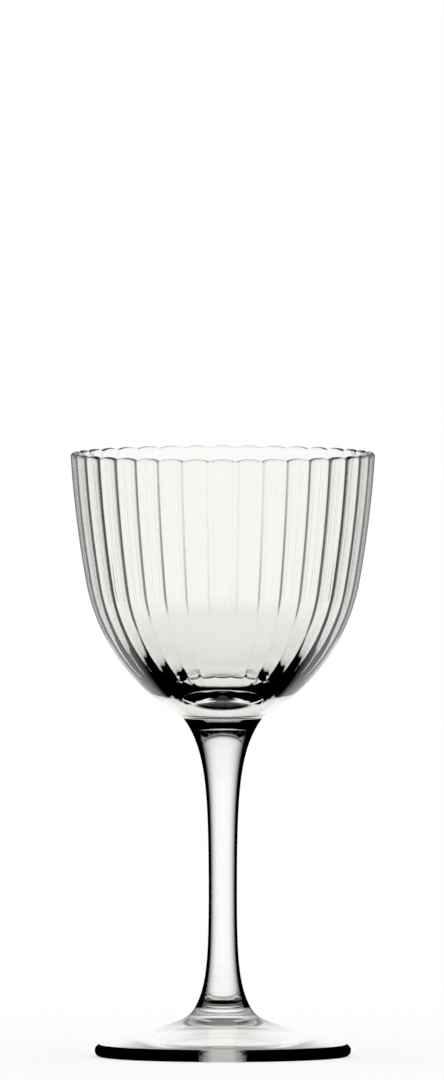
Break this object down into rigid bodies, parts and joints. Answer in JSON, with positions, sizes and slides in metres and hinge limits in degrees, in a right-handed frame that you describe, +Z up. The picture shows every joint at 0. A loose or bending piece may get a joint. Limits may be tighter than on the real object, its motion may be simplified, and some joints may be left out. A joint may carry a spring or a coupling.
{
  "type": "nick and nora glass",
  "caption": "Stemmed cocktail glass with a deep bell-shaped bowl, optic flutes down the inside of the bowl, a slender drawn stem and a round flared foot.",
  "frame": {"origin": "centre of the foot's underside, on the surface that the glass stands on", "axes": "+Z up along the axis of the stem, towards the rim; the glass is round, so +X and +Y are any two level directions at right angles, and one rib of the bowl faces -Y"},
  "size_m": [0.0714, 0.0714, 0.142],
  "materials": {
    "clear_glass": "fire-polished, clear"
  },
  "bodies": {
    "root": {"bowl": "clear_glass", "stem": "clear_glass", "foot": "clear_glass"}
  },
  "joints": []
}
